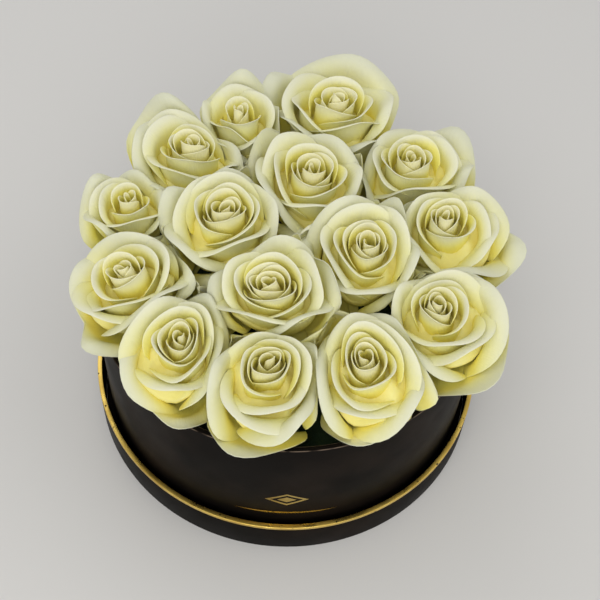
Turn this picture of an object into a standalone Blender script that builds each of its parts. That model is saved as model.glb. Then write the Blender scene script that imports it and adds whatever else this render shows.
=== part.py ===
"""Rose box: cream roses standing in wet foam inside a round black card box.

The box stands in its own upturned lid, whose rim has a gold foil edge. The
origin is the centre of the lid's underside, +Z is up, and -Y is the front.
"""

import math
import random

import bmesh
import bpy
import numpy as np
from mathutils import Matrix, Vector

MM = 0.001
GAP = 0.3

# Lid, lying upside down as a tray
LID_RADIUS = 100.0
LID_HEIGHT = 23.0
LID_WALL = 2.4
LID_PANEL = 2.4
FOIL = 0.6
FOIL_SKIRT = 2.2

# Box
BOX_RADIUS = 94.5
BOX_TOP = 93.7
BOX_WALL = 2.6
BOX_BASE = 2.4

# Liner cup and wet foam
LINER_WALL = 0.8
LINER_SLACK = 0.5
LINER_TOP = 74.0
FOAM_TOP = 68.0

OUTER_SIDES = 48
INNER_SIDES = 32

# Stem, hip and sepals
STEM_RADIUS = 2.6
STEM_SIDES = 6
STEM_FOOT = 28.0
HOLE_CLEARANCE = 0.45
HIP_RADIUS = 5.0
HIP_SHOULDER = 4.0
HIP_BELLY_DEPTH = 4.5
HIP_FOOT_DEPTH = 11.0
SEPALS = 5
SEPAL_SIDES = 4
SEPAL_LENGTH = 10.0
SEPAL_WIDTH = 4.6
SEPAL_THICKNESS = 1.6
SEPAL_DROOP = 20.0
SEPAL_ROOT_RADIUS = 2.5
SEPAL_ROOT_DEPTH = 2.4

# A bloom of this radius and height is drawn, then scaled to each rose
DRAWN_RADIUS = 30.0
DRAWN_HEIGHT = 42.0
PETAL_THICKNESS = 0.8
CORE_SIDES = 7
CORE_PROFILE = ((0.0, 27.0), (8.0, 25.0), (12.0, 17.0), (11.0, 8.0), (4.4, 0.0), (0.0, 0.0))

# Whorls of petals: how many, the turn from one to the next in degrees, the
# turn of the first, how much wider than drawn the first and the last are, how
# fast a rim sinks as its petal opens, half the angle that a petal spans, the
# points across it, and its outline from root to rim as radius, height and
# share of that angle
OUTER_WHORL = dict(
    count=5, step=144.0, start=0.0, opened=(1.10, 0.88), sag=45.0, half_angle=45.0, across=4,
    outline=((8.0, 6.0, 0.45), (20.5, 13.5, 0.75), (26.5, 30.5, 1.0), (31.5, 34.5, 0.85)))
MIDDLE_WHORL = dict(
    count=3, step=122.0, start=36.0, opened=(1.12, 0.88), sag=10.0, half_angle=66.0, across=4,
    outline=((9.0, 17.0, 0.8), (15.5, 31.0, 0.95), (20.5, 37.0, 0.85)))
BUD_WHORL = dict(
    count=3, step=130.0, start=80.0, opened=(1.3, 0.5), sag=2.0, half_angle=84.0, across=4,
    outline=((4.0, 22.0, 0.9), (5.5, 33.0, 1.0), (7.0, 42.0, 0.8)))
SAG_FROM = 0.92
EDGE_DROP = 0.05
EDGE_FOLD = 0.7
TURN_JITTER = 3.0
FIRST_SEED = 100

# Neighbouring blooms press on each other at planes between their widest
# places. A bloom is squeezed from a share of the way to the plane outwards
WIDEST_AT = 0.6
PRESS_CLEARANCE = 0.7
PRESS_REACH = 6.0
PRESS_START = 0.2
PRESSED_SHARE = 0.9
PRESS_ROUNDS = 4

# Petals that pass over the rim of the box stay off a cone around it
RIM_CLEARANCE = 1.0
RIM_SLOPE = 0.8

# Each rose: the place of its bud's tip, its size in millimetres, how far it
# leans to the right and to the back in degrees, the direction of its outermost
# petal, and how wide that petal has opened
ROSES = (
    dict(x=18, y=84, top=132, radius=33, height=41, lean=(2, 7), turn=157, sprawl=1.13, sag=0),
    dict(x=-31, y=72, top=132, radius=23, height=39, lean=(-3, 3), turn=90, sprawl=1.06, sag=0),
    dict(x=-51, y=49, top=132, radius=32, height=40, lean=(1, 1), turn=107, sprawl=1.10, sag=0),
    dict(x=7, y=34, top=136, radius=35, height=42, lean=(2, -6), turn=141, sprawl=1.12, sag=2),
    dict(x=55, y=49, top=132, radius=32, height=40, lean=(-1, 1), turn=53, sprawl=1.13, sag=0),
    dict(x=-78, y=15, top=129, radius=22, height=37, lean=(-3, -2), turn=148, sprawl=1.06, sag=3),
    dict(x=-31, y=7, top=136, radius=35, height=42, lean=(1, -7), turn=155, sprawl=1.08, sag=4),
    dict(x=34, y=-8, top=136, radius=35, height=42, lean=(0, -9), turn=52, sprawl=1.08, sag=4),
    dict(x=70, y=13, top=131, radius=32, height=40, lean=(-3, -5), turn=-8, sprawl=1.15, sag=9),
    dict(x=-75, y=-26, top=129, radius=31, height=40, lean=(-10, -5), turn=240, sprawl=1.13, sag=10),
    dict(x=-10, y=-34, top=136, radius=35, height=42, lean=(-9, -10), turn=19, sprawl=1.10, sag=3),
    dict(x=66, y=-36, top=130, radius=31, height=40, lean=(-6, -7), turn=-58, sprawl=1.15, sag=12),
    dict(x=-45, y=-58, top=128, radius=31, height=40, lean=(2, -5), turn=277, sprawl=1.13, sag=12),
    dict(x=-6, y=-68, top=128, radius=34, height=40, lean=(2, -7), turn=249, sprawl=1.15, sag=13),
    dict(x=34, y=-64, top=129, radius=33, height=40, lean=(-5, -9), turn=262, sprawl=1.10, sag=10),
)


def mix(first, second, share):
    return first + (second - first) * share


def whorl_petals(whorl, rose, chance):
    """The petals of one whorl: the turn of each, how wide it has opened, and its rim's sag."""
    petals = []
    for place in range(whorl["count"]):
        opened = mix(*whorl["opened"], place / (whorl["count"] - 1))
        jitter = chance.uniform(-TURN_JITTER, TURN_JITTER)
        turn = rose["turn"] + whorl["start"] + place * whorl["step"] + jitter
        sag = max(0.0, opened - SAG_FROM) * whorl["sag"]
        if whorl is OUTER_WHORL and place == 0:
            opened, sag = rose["sprawl"], rose["sag"]
        petals.append((math.radians(turn), opened, sag))
    return petals


def petal_sheet(whorl, turn, opened, sag):
    """Points of a petal in the bloom's own frame, rows running from root to rim."""
    side = np.linspace(-1.0, 1.0, whorl["across"])[:, None]
    radius, height, share = np.array(whorl["outline"]).T
    turns = turn + side * math.radians(whorl["half_angle"]) * share
    radii = radius * opened * np.ones_like(side)
    radii[:, 0] = radius[0]
    radii[:, -1:] = mix(radii[:, -1:], radii[:, -2:-1], EDGE_FOLD * side ** 2)
    drop = sag * (radius - radius[0]) / (radius[-1] - radius[0])
    heights = height * (1.0 - EDGE_DROP * side ** 2 * share) - drop
    return np.stack([radii * np.cos(turns), radii * np.sin(turns), heights], axis=-1)


def rose_axis(rose):
    right, back = rose["lean"]
    slant = Vector((math.tan(math.radians(right)), math.tan(math.radians(back)), 1.0))
    return slant.normalized()


def rose_frame(rose):
    """Matrix from a bloom's own frame, with its base at the origin, to the box's."""
    axis = rose_axis(rose)
    base = Vector((rose["x"], rose["y"], rose["top"])) - axis * rose["height"]
    return Matrix.Translation(base) @ Vector((0, 0, 1)).rotation_difference(axis).to_matrix().to_4x4()


def rose_middle(rose):
    return rose_frame(rose) @ Vector((0, 0, WIDEST_AT * rose["height"]))


def press_planes(number):
    """The planes where a bloom meets its neighbours, as a normal and a distance."""
    rose = ROSES[number]
    middle = rose_middle(rose)
    planes = []
    for other_number, other in enumerate(ROSES):
        if other_number == number:
            continue
        between = rose_middle(other) - middle
        if between.length > rose["radius"] + other["radius"] + PRESS_REACH:
            continue
        share = rose["radius"] / (rose["radius"] + other["radius"])
        distance = between.length * share - PRESS_CLEARANCE
        planes.append((np.array(between.normalized()), distance))
    return np.array(middle), planes


def press(points, number):
    """Squeeze points so that a bloom stays on its own side of each plane."""
    rose = ROSES[number]
    middle, planes = press_planes(number)
    for normal, distance in planes:
        depth = (points - middle) @ normal
        start = PRESS_START * distance
        squeeze = min(1.0, (distance - start) / (PRESSED_SHARE * rose["radius"] - start))
        excess = np.maximum(0.0, depth - start) * (1.0 - squeeze)
        points = points - excess[:, None] * normal
    for _ in range(PRESS_ROUNDS):
        for normal, distance in planes:
            excess = np.maximum(0.0, (points - middle) @ normal - distance)
            points = points - excess[:, None] * normal
    return points


def clear_of_rim(points):
    """Lift points off a cone that passes just over the rim of the box."""
    radius = np.hypot(points[:, 0], points[:, 1])
    floor = BOX_TOP + RIM_CLEARANCE + (radius - BOX_RADIUS + BOX_WALL) * RIM_SLOPE
    lift = np.maximum(0.0, floor - points[:, 2]) / (1.0 + RIM_SLOPE ** 2)
    points = points.copy()
    points[:, :2] *= (1.0 - lift * RIM_SLOPE / radius)[:, None]
    points[:, 2] += lift
    return points


def settle(local_points, number):
    """Take a bloom's own points to their pressed places in the box, in metres."""
    rose = ROSES[number]
    scale = np.array([rose["radius"] / DRAWN_RADIUS] * 2 + [rose["height"] / DRAWN_HEIGHT])
    frame = np.array(rose_frame(rose))
    points = (local_points * scale) @ frame[:3, :3].T + frame[:3, 3]
    return clear_of_rim(press(points, number)) * MM


def clear_scene():
    for item in list(bpy.data.objects):
        bpy.data.objects.remove(item, do_unlink=True)


def make_collection(name):
    collection = bpy.data.collections.new(name)
    bpy.context.scene.collection.children.link(collection)
    return collection


def material(name, colour, roughness, metallic=0.0):
    shade = bpy.data.materials.new(name)
    shade.use_nodes = True
    surface = shade.node_tree.nodes["Principled BSDF"]
    surface.inputs["Base Color"].default_value = (*colour, 1.0)
    surface.inputs["Roughness"].default_value = roughness
    surface.inputs["Metallic"].default_value = metallic
    return shade


def add_object(name, mesh, collection, shade=None):
    item = bpy.data.objects.new(name, mesh)
    collection.objects.link(item)
    if shade is not None:
        mesh.materials.append(shade)
    return item


def apply_modifiers(item):
    """Replace an object's mesh by what its modifiers make of it."""
    depsgraph = bpy.context.evaluated_depsgraph_get()
    mesh = bpy.data.meshes.new_from_object(item.evaluated_get(depsgraph))
    item.modifiers.clear()
    old = item.data
    item.data = mesh
    bpy.data.meshes.remove(old)


def turned(name, profile, sides, collection, shade):
    """A profile in millimetres turned about the Z axis."""
    mesh = bpy.data.meshes.new(name)
    closed = profile[0][0] > 0.0
    edges = [(index, index + 1) for index in range(len(profile) - 1)]
    if closed:
        edges.append((len(profile) - 1, 0))
    mesh.from_pydata([(radius * MM, 0.0, height * MM) for radius, height in profile], edges, [])
    item = add_object(name, mesh, collection, shade)
    screw = item.modifiers.new("turn", "SCREW")
    screw.steps = sides
    screw.render_steps = sides
    screw.use_merge_vertices = True
    screw.merge_threshold = 0.00001
    screw.use_smooth_shade = True
    return item


def make_lid(collection, black, gold):
    inner = LID_RADIUS - LID_WALL
    shoulder = LID_RADIUS - FOIL - GAP
    ledge = LID_HEIGHT - FOIL - GAP
    turned("lid_wall", [
        (inner, ledge), (shoulder, ledge), (shoulder, LID_HEIGHT - FOIL_SKIRT - GAP),
        (LID_RADIUS, LID_HEIGHT - FOIL_SKIRT - GAP), (LID_RADIUS, 0.0), (inner, 0.0),
    ], OUTER_SIDES, collection, black)
    turned("lid_gold_edge", [
        (inner, LID_HEIGHT), (LID_RADIUS, LID_HEIGHT), (LID_RADIUS, LID_HEIGHT - FOIL_SKIRT),
        (LID_RADIUS - FOIL, LID_HEIGHT - FOIL_SKIRT), (LID_RADIUS - FOIL, LID_HEIGHT - FOIL),
        (inner, LID_HEIGHT - FOIL),
    ], OUTER_SIDES, collection, gold)
    turned("lid_panel", [
        (0.0, LID_PANEL), (inner - GAP, LID_PANEL), (inner - GAP, 0.0), (0.0, 0.0),
    ], OUTER_SIDES, collection, black)


def make_box(collection, black):
    foot = LID_PANEL + GAP
    inner = BOX_RADIUS - BOX_WALL
    turned("box_wall", [
        (inner, BOX_TOP), (BOX_RADIUS, BOX_TOP), (BOX_RADIUS, foot), (inner, foot),
    ], OUTER_SIDES, collection, black)
    turned("box_base", [
        (0.0, foot + BOX_BASE), (inner - GAP, foot + BOX_BASE), (inner - GAP, foot), (0.0, foot),
    ], OUTER_SIDES, collection, black)


def make_liner(collection, shade):
    floor = LID_PANEL + GAP + BOX_BASE + GAP
    outer = BOX_RADIUS - BOX_WALL - LINER_SLACK
    inner = outer - LINER_WALL
    turned("liner", [
        (0.0, floor + LINER_WALL), (inner, floor + LINER_WALL), (inner, LINER_TOP),
        (outer, LINER_TOP), (outer, floor), (0.0, floor),
    ], INNER_SIDES, collection, shade)
    return inner, floor + LINER_WALL


def stem_matrix(rose):
    """The bloom's frame in metres: its stem hangs below the origin."""
    frame = rose_frame(rose)
    frame.translation *= MM
    return frame


def stem_length(rose):
    """How far the stem reaches below the bloom's base, along the bloom's axis."""
    base = rose_frame(rose).translation
    return (base.z - STEM_FOOT) / rose_axis(rose).z


def make_foam(collection, cutters, shade, liner_inner, liner_floor):
    radius = liner_inner - GAP
    foot = liner_floor + GAP
    foam = turned("foam", [(0.0, FOAM_TOP), (radius, FOAM_TOP), (radius, foot), (0.0, foot)],
                  INNER_SIDES, collection, shade)
    apply_modifiers(foam)
    for number, rose in enumerate(ROSES):
        mesh = bpy.data.meshes.new("stem_hole")
        shape = bmesh.new()
        depth = (stem_length(rose) + GAP) * MM
        hole_radius = (STEM_RADIUS + HOLE_CLEARANCE) * MM
        bmesh.ops.create_cone(shape, cap_ends=True, segments=STEM_SIDES,
                              radius1=hole_radius, radius2=hole_radius, depth=depth)
        bmesh.ops.translate(shape, verts=shape.verts, vec=(0, 0, -depth / 2))
        shape.to_mesh(mesh)
        shape.free()
        hole = add_object(f"stem_hole_{number + 1:02d}", mesh, cutters)
        hole.matrix_world = stem_matrix(rose)
        hole.hide_render = True
        hole.display_type = "WIRE"
    boolean = foam.modifiers.new("stem holes", "BOOLEAN")
    boolean.operation = "DIFFERENCE"
    boolean.operand_type = "COLLECTION"
    boolean.collection = cutters


def blade(name, sheet, thickness, collection):
    """A grid whose points take the sheet's places, its root row drawn in to a claw,
    split into triangles and then thickened."""
    across, along = sheet.shape[:2]
    mesh = bpy.data.meshes.new(name)
    shape = bmesh.new()
    bmesh.ops.create_grid(shape, x_segments=along - 1, y_segments=across - 1, size=1.0)
    shape.verts.ensure_lookup_table()
    for vertex, place in zip(shape.verts, sheet.reshape(-1, 3)):
        vertex.co = place
    root = [shape.verts[index * along] for index in range(across)]
    for half in (root[:across // 2], root[across // 2:]):
        bmesh.ops.pointmerge(shape, verts=half, merge_co=(half[0].co + half[-1].co) / 2)
    bmesh.ops.triangulate(shape, faces=shape.faces)
    bmesh.ops.recalc_face_normals(shape, faces=shape.faces)
    shape.to_mesh(mesh)
    shape.free()
    item = add_object(name, mesh, collection)
    solidify = item.modifiers.new("thickness", "SOLIDIFY")
    solidify.thickness = thickness * MM
    solidify.offset = 0.0


def fuse(item, pieces):
    """Join a collection of pieces to an object and remove them."""
    boolean = item.modifiers.new("fuse", "BOOLEAN")
    boolean.operation = "UNION"
    boolean.solver = "MANIFOLD"
    boolean.operand_type = "COLLECTION"
    boolean.collection = pieces
    apply_modifiers(item)
    for piece in list(pieces.objects):
        bpy.data.objects.remove(piece, do_unlink=True)


def make_bloom(number, collection, pieces, shade):
    rose = ROSES[number]
    name = f"rose_{number + 1:02d}_bloom"
    core = turned(name, CORE_PROFILE, CORE_SIDES, collection, shade)
    apply_modifiers(core)
    places = np.array([vertex.co / MM for vertex in core.data.vertices])
    for vertex, place in zip(core.data.vertices, settle(places, number)):
        vertex.co = place
    chance = random.Random(FIRST_SEED + number)
    for whorl in (OUTER_WHORL, MIDDLE_WHORL, BUD_WHORL):
        for turn, opened, sag in whorl_petals(whorl, rose, chance):
            sheet = petal_sheet(whorl, turn, opened, sag)
            settled = settle(sheet.reshape(-1, 3), number).reshape(sheet.shape)
            blade("petal", settled, PETAL_THICKNESS, pieces)
    fuse(core, pieces)


def make_sepal(turn, collection):
    """A flattened cone whose root sits in the hip and whose tip reaches out and down."""
    mesh = bpy.data.meshes.new("sepal")
    shape = bmesh.new()
    bmesh.ops.create_cone(shape, cap_ends=True, segments=SEPAL_SIDES, radius1=SEPAL_WIDTH * MM / 2,
                          radius2=0.0, depth=SEPAL_LENGTH * MM)
    bmesh.ops.scale(shape, verts=shape.verts, vec=(1.0, SEPAL_THICKNESS / SEPAL_WIDTH, 1.0))
    shape.to_mesh(mesh)
    shape.free()
    item = add_object("sepal", mesh, collection)
    seat = Matrix.Translation((0, 0, -SEPAL_ROOT_DEPTH * MM))
    around = Matrix.Rotation(turn, 4, "Z")
    droop = Matrix.Rotation(math.radians(90.0 + SEPAL_DROOP), 4, "X")
    out = Matrix.Translation((0, 0, (SEPAL_LENGTH / 2 + SEPAL_ROOT_RADIUS) * MM))
    item.matrix_world = seat @ around @ droop @ out


def make_stem(number, collection, pieces, shade):
    rose = ROSES[number]
    name = f"rose_{number + 1:02d}_stem"
    foot = -stem_length(rose)
    stem = turned(name, [
        (0.0, -GAP), (HIP_SHOULDER, -GAP), (HIP_RADIUS, -HIP_BELLY_DEPTH),
        (STEM_RADIUS, -HIP_FOOT_DEPTH), (STEM_RADIUS, foot), (0.0, foot),
    ], STEM_SIDES, collection, shade)
    apply_modifiers(stem)
    for index in range(SEPALS):
        make_sepal(math.radians(rose["turn"] + 360.0 * (index + 0.5) / SEPALS), pieces)
    fuse(stem, pieces)
    stem.data.transform(stem_matrix(rose))


def main():
    clear_scene()
    parts = make_collection("rose_box")
    cutters = make_collection("cutters")
    pieces = make_collection("pieces")
    black = material("black card", (0.012, 0.011, 0.010), 0.5)
    gold = material("gold foil", (0.70, 0.48, 0.17), 0.3, 1.0)
    clear = material("clear liner", (0.55, 0.56, 0.55), 0.25)
    moss = material("wet foam", (0.05, 0.12, 0.04), 0.9)
    green = material("rose green", (0.12, 0.22, 0.05), 0.55)
    cream = material("cream petals", (0.80, 0.76, 0.50), 0.55)
    make_lid(parts, black, gold)
    make_box(parts, black)
    liner_inner, liner_floor = make_liner(parts, clear)
    make_foam(parts, cutters, moss, liner_inner, liner_floor)
    for number in range(len(ROSES)):
        make_bloom(number, parts, pieces, cream)
        make_stem(number, parts, pieces, green)
    bpy.data.collections.remove(pieces)


if __name__ == "__main__":
    main()
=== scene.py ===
"""Rose box: cream roses in a round black card box that stands in its own upturned lid.

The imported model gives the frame. This script dresses it: petals in their turns,
stalks with sepals, card walls with a turned paper edge, the gold foil edge of the
lid, a small foil ornament on the front, and the stage.
"""
import math
import random

import bpy
import numpy as np
from bpy.props import FloatProperty, FloatVectorProperty, IntProperty, PointerProperty
from mathutils import Matrix, Vector


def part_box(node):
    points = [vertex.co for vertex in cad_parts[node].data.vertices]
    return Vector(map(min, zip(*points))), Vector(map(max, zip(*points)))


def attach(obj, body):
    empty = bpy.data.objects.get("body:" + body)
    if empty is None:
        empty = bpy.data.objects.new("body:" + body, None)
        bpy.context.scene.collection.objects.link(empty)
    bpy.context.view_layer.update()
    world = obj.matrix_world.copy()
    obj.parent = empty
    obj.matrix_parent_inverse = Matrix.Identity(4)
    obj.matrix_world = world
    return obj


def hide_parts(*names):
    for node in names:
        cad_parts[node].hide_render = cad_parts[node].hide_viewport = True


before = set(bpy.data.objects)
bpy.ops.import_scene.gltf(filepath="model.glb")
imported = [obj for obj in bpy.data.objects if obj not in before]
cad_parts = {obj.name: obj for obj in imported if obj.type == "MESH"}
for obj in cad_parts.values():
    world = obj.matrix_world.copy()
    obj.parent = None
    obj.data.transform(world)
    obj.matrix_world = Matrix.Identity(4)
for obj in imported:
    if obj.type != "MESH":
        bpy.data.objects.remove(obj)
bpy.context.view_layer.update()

bl_info = {
    "name": "Rose box",
    "version": (1, 0, 0),
    "blender": (4, 5, 0),
    "location": "View3D > Sidebar > Rose box",
    "description": "Dresses a packed rose box with petals, card, foil and a stage",
    "category": "Object",
}

MM = 0.001
BODY = "root"

# What most roses share: how far the outermost petal has sunk and how far it slips
# behind a neighbour, how many petals there are, which way they wind, and the
# direction in which they reach further and by what share
USUAL_ROSE = dict(sag=0, slip=0, petals=16, wind=1, reach=(90, 0.0))

# The roses, placed as the solids have them: the place of each bud's tip, its size
# in millimetres, its lean to the right and to the back in degrees, the direction
# of its outermost petal, how wide that petal has opened, how oval the heart is and
# which way that lies
ROSES = tuple(USUAL_ROSE | rose for rose in (
    dict(x=18, y=84, top=132, radius=33, height=41, lean=(2, 7), turn=155, sprawl=1.10,
         sag=5, slip=8, heart=(0.16, 20), reach=(90, 0.14)),
    dict(x=-31, y=72, top=132, radius=23, height=39, lean=(-3, 3), turn=90, sprawl=1.06,
         petals=13, wind=-1, heart=(0.10, 70), reach=(90, 0.07)),
    dict(x=-51, y=49, top=132, radius=32, height=40, lean=(1, 1), turn=107, sprawl=1.10,
         heart=(0.20, -10), reach=(100, 0.04)),
    dict(x=7, y=34, top=136, radius=35, height=42, lean=(2, -6), turn=141, sprawl=1.12,
         sag=2, heart=(0.05, 0)),
    dict(x=55, y=49, top=132, radius=32, height=40, lean=(-1, 1), turn=53, sprawl=1.13,
         wind=-1, heart=(0.12, 110), reach=(30, -0.15)),
    dict(x=-78, y=15, top=129, radius=22, height=37, lean=(-3, -2), turn=148, sprawl=1.06,
         sag=3, petals=13, heart=(0.12, 40), reach=(180, -0.08)),
    dict(x=-31, y=7, top=136, radius=35, height=42, lean=(1, -7), turn=155, sprawl=1.08,
         sag=4, petals=17, wind=-1, heart=(0.14, 25)),
    dict(x=34, y=-8, top=136, radius=35, height=42, lean=(0, -9), turn=52, sprawl=1.08,
         sag=4, petals=17, heart=(0.06, 90)),
    dict(x=70, y=13, top=131, radius=32, height=40, lean=(-3, -5), turn=-8, sprawl=1.15,
         sag=9, heart=(0.10, 60), reach=(-10, -0.20)),
    dict(x=-75, y=-26, top=129, radius=31, height=40, lean=(-10, -5), turn=240, sprawl=1.13,
         sag=10, heart=(0.18, -20), reach=(200, -0.15)),
    dict(x=-10, y=-34, top=136, radius=35, height=42, lean=(-9, -10), turn=19, sprawl=1.10,
         sag=3, petals=17, wind=-1, heart=(0.22, 15)),
    dict(x=66, y=-36, top=130, radius=31, height=40, lean=(-6, -7), turn=-58, sprawl=1.15,
         sag=12, wind=-1, heart=(0.14, 120), reach=(-30, -0.08)),
    dict(x=-45, y=-58, top=128, radius=31, height=40, lean=(2, -5), turn=277, sprawl=1.13,
         sag=12, heart=(0.10, 80), reach=(225, -0.22)),
    dict(x=-6, y=-68, top=128, radius=34, height=40, lean=(2, -7), turn=249, sprawl=1.15,
         sag=13, heart=(0.16, 35), reach=(270, -0.10)),
    dict(x=34, y=-64, top=129, radius=33, height=40, lean=(-5, -9), turn=262, sprawl=1.10,
         sag=10, wind=-1, heart=(0.08, 100), reach=(280, -0.26)),
))

# Gaps among three blooms: the first one fills the gap with a petal of its own
GAPS = (
    (1, 2, 4), (2, 3, 4), (7, 3, 4), (5, 1, 4), (7, 3, 6), (8, 4, 7), (8, 4, 5), (9, 5, 8),
    (10, 6, 7), (10, 7, 13), (11, 7, 13), (11, 7, 8), (12, 8, 9), (15, 8, 11), (12, 8, 15),
    (11, 13, 14), (15, 11, 14), (11, 14, 15),
    (2, 3, 4), (4, 1, 5), (3, 7, 6), (4, 7, 8), (5, 8, 9), (7, 6, 10), (13, 7, 11), (7, 8, 11),
    (8, 9, 12), (8, 11, 15), (15, 8, 12), (14, 11, 13), (14, 11, 15),
)

# The petals that fill the gaps: how open and how sunk each one is, its share of a
# petal's width, and the openness that its colour is read from
FILLER_OPENNESS = 1.06
FILLER_SAG = 8.0
FILLER_SPREAD = 0.62
FILLER_TONE = 0.78

# A bloom of this radius and height is drawn, then scaled to each rose
DRAWN_RADIUS = 30.0
DRAWN_HEIGHT = 42.0

# The rims of a bloom make a dome that falls this much with the square of the radius
DOME_FALL = 0.016

# Points along each petal, closer towards its rim, and across it, and its profile's steps
PETAL_ALONG = 15
ALONG_POWER = 1.25
PETAL_ACROSS = 13
PROFILE_STEPS = 120

# Openness goes from 0 in the heart to 1 for a petal that lies wide open: how it
# falls from the outermost petal in, and the turn between petals in degrees
OUTER_PETALS = 7
OUTER_STEP = 144.0
OUTER_OPENNESS = (1.06, 0.78)
SPRAWL_TO_OPENNESS = 0.94
GUARD_POINT = 1.7
SAG_FROM = 0.86
SAG = 22.0
INNER_OPENNESS = 0.72
HEART_OPENNESS = 0.02
LEAST_OPENNESS = 0.01
INNER_POWER = 0.86
INNER_STEP = 137.5
INNER_START = 36.0

# What chance changes from petal to petal
FIRST_SEED = 100
OPENNESS_CHANCE = 0.4
OUTER_TURN_CHANCE = 5.0
INNER_TURN_CHANCE = 16.0
POINT_RANGE = (0.2, 1.0)
LENGTH_RANGE = (0.965, 1.03)
TUCK_RANGE = (0.7, 1.3)
RIPPLE_RANGE = (0.3, 1.0)
FOLD_RANGE = (-0.35, 0.35)

# A petal's outline. Here and below, a pair is a value and what openness, or a
# power of it, adds to it
PETAL_LENGTH = 40.6
OPEN_LENGTH = (2.0, 7.7)
CORNER_TAPER = (0.22, 0.28)
TAPER_FROM = 0.5
TAPER_REACH = 0.4
TIP_ASIDE = 0.4
TIP_WIDTH = 0.24
TIP_LENGTH = 0.08
EDGE_TUCK = 0.02
EDGE_WAVE = 0.008
EDGE_WAVES = 8.0
HALF_ANGLE = (72.0, 66.0)
HALF_ANGLE_POWER = 0.9
ROOT_WIDTH = 0.5
FULL_WIDTH_AT = 0.45

# A petal's profile: where it leaves the axis, its slopes in degrees, where its
# bend ends, how its rim rolls back, most at its shoulders, and how it falls over
ROOT_RADIUS = (1.2, 3.6)
ROOT_HEIGHT = (2.5, -1.5)
ROOT_SLOPE = (68.0, -66.0)
BODY_SLOPE = (94.0, -8.0)
BEND_END = (0.30, 0.30)
CLOSED_ROLL = 18.0
ROLL_POWER = 1.6
ROLL_LENGTH = (1.8, 11.2)
SHOULDER_PLACE = 0.55
SHOULDER_WIDTH = 0.3
SHOULDER_ROLL = 0.40
SHOULDER_ROLL_LENGTH = 0.25
TIP_ROLL = 0.25
CORNER_ROLL = 0.5
FALL_FROM = 0.97
FALL_TURN = 120.0
SAG_REACH = 1.4

# Waves across a petal: how close they are, how their phase turns, and how they
# grow towards its rim. Then their heights
RIPPLE_WAVE = (3.2, 1.0, 3)
RIM_WAVE = (8.0, 2.3, 6)
SIDE_WAVE = (4.6, 1.7, 2)
RIPPLE = (0.6, 1.7)
RIM_RIPPLE = 0.35
SIDE_RIPPLE = 0.5

# How far out a heart is oval, and how a whole bloom wanders off its round shape
HEART_REACH = 16.0
WANDER = 0.9
WANDER_LENGTHS = ((7.0, 9.0), (8.0, 8.0))

# Neighbouring blooms press on each other at planes between their widest places
WIDEST_AT = 0.6
PRESS_OVERLAP = 0.8
PRESS_REACH = 6.0
PRESS_START = 0.2
PRESSED_SHARE = 0.97
PRESS_ROUNDS = 4
MEANDER = 2.6
MEANDER_LENGTH = 6.0
MEANDER_RISE = 8.0

# The close inner petals that a bloom hides, as one folded core under its dome
CORE_SIDES = 32
CORE_RINGS = 16
CORE_RADIUS = 22.0
CORE_DEPTH = 15.0
CORE_FOLDS = 5.0
CORE_FOLD_SWEEP = 0.35
CORE_FOLD_FROM = 8.0
CORE_FOLD_HEIGHT = 2.0
CORE_FOOT = 5.0
CORE_RISE = 0.94

# The crown that all the rims make: its height, and how it falls towards the rim
# of the box. Petals this far below it get the same painted shade as those inside a bloom
CROWN_TOP = 131.0
CROWN_FLAT = 62.0
CROWN_SLOPE = 45.0
CROWN_FALL = 36.0
CROWN_DEPTH = 14.0

# Petals that pass over the rim of the box stay off a cone around it
RIM_CLEARANCE = 1.0
RIM_SLOPE = 0.8

# Stalks: radius and height of the rings of the hip, then the stem and its cut end
HIP_RINGS = (
    (0.0, -0.3), (2.4, -0.3), (4.0, -0.4), (4.7, -1.6),
    (5.0, -3.6), (4.7, -6.2), (3.6, -9.2), (2.7, -11.2))
STALK_SIDES = 16
STALK_RADIUS = 2.4
STALK_NECK = -16.0
STALK_CHAMFER = 0.4
STALK_FOOT = 28.0

# Sepals: points along and across, size, how they narrow, and their droop in degrees
SEPALS = 5
SEPAL_ALONG = 10
SEPAL_ACROSS = 4
SEPAL_LENGTH = 11.0
SEPAL_WIDTH = 4.6
SEPAL_THICKNESS = 0.5
SEPAL_ROOT = 3.2
SEPAL_DEPTH = 1.6
SEPAL_POWER = 1.6
SEPAL_BELLY = (0.7, 0.6)
SEPAL_DROOP = (5.0, 55.0)
SEPAL_BEND = 0.6
SEPAL_HOLLOW = 0.5

# The ornament on the front of the box: its middle, and the sizes of its lozenges and its line
ORNAMENT_X = 5.0
LOZENGE_HEIGHT = 44.0
LOZENGE_WIDTH = 21.0
LOZENGE_TALL = 12.0
LOZENGE_BAND = 1.3
LOZENGE_CUTS = 3
INNER_LOZENGE = 0.44
LINE_HEIGHT = 29.5
LINE_LENGTH = 50.0
LINE_THICKNESS = 1.5
LINE_STEPS = 40
LINE_TAPER = 2.2
LINE_TIP = 0.06
FOIL_PROUD = 0.03

# Card walls and foil, from the solids
BOX_LOW, BOX_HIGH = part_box("box_wall")
LID_LOW, LID_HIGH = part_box("lid_wall")
FOIL_LOW, FOIL_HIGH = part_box("lid_gold_edge")
BOX_RADIUS = BOX_HIGH.x / MM
BOX_TOP = BOX_HIGH.z / MM
BOX_FOOT = BOX_LOW.z / MM
BOX_WALL = 2.6
LID_RADIUS = LID_HIGH.x / MM
LID_FOOT = LID_LOW.z / MM
LID_WALL = 2.4
FOIL_TOP = FOIL_HIGH.z / MM
FOIL_FOOT = FOIL_LOW.z / MM
FOIL_THICKNESS = 0.6
FOIL_GAP = 0.1

# Round walls: steps of the turned edge, angles in degrees of what is rounded and
# of what is shaded smooth, and how close points are merged in metres
EDGE_STEPS = 4
EDGE_ANGLE = 50.0
SMOOTH_ANGLE = 40.0
MERGE = 0.000001
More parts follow.
